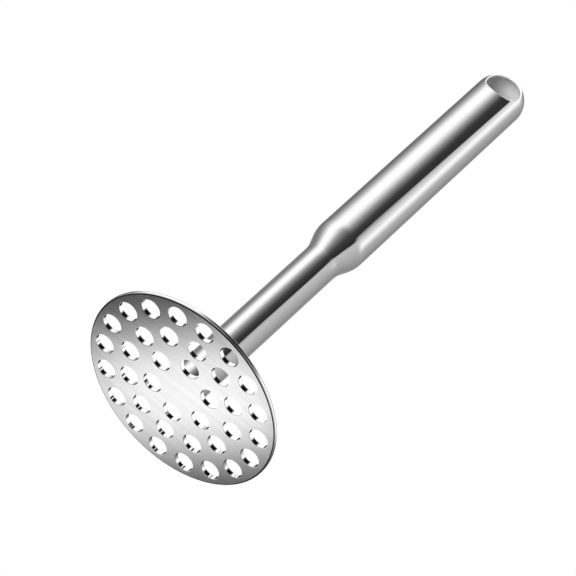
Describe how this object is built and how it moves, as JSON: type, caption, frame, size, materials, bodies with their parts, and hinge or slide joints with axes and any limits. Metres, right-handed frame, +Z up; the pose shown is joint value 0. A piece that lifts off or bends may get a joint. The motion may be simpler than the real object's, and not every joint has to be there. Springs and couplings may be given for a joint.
{
  "type": "potato masher",
  "caption": "Hand masher: a flat round perforated plate welded square to a one-piece tubular handle with a slimmer stem, a fuller grip, a domed end and a side mouth for hanging.",
  "frame": {"origin": "centre of the mashing plate's underside", "axes": "+Z up the handle's axis from the plate to the domed end; the hanging mouth faces -Y, and one hole of each ring lies on that side's ray"},
  "size_m": [0.085, 0.085, 0.233],
  "materials": {
    "brushed_stainless": "linear brushed stainless steel",
    "polished_stainless": "polished stainless steel",
    "weld_stainless": "dressed stainless weld"
  },
  "bodies": {
    "root": {"mashing_plate": "brushed_stainless", "handle_tube": "polished_stainless", "weld_bead": "weld_stainless"}
  },
  "joints": []
}
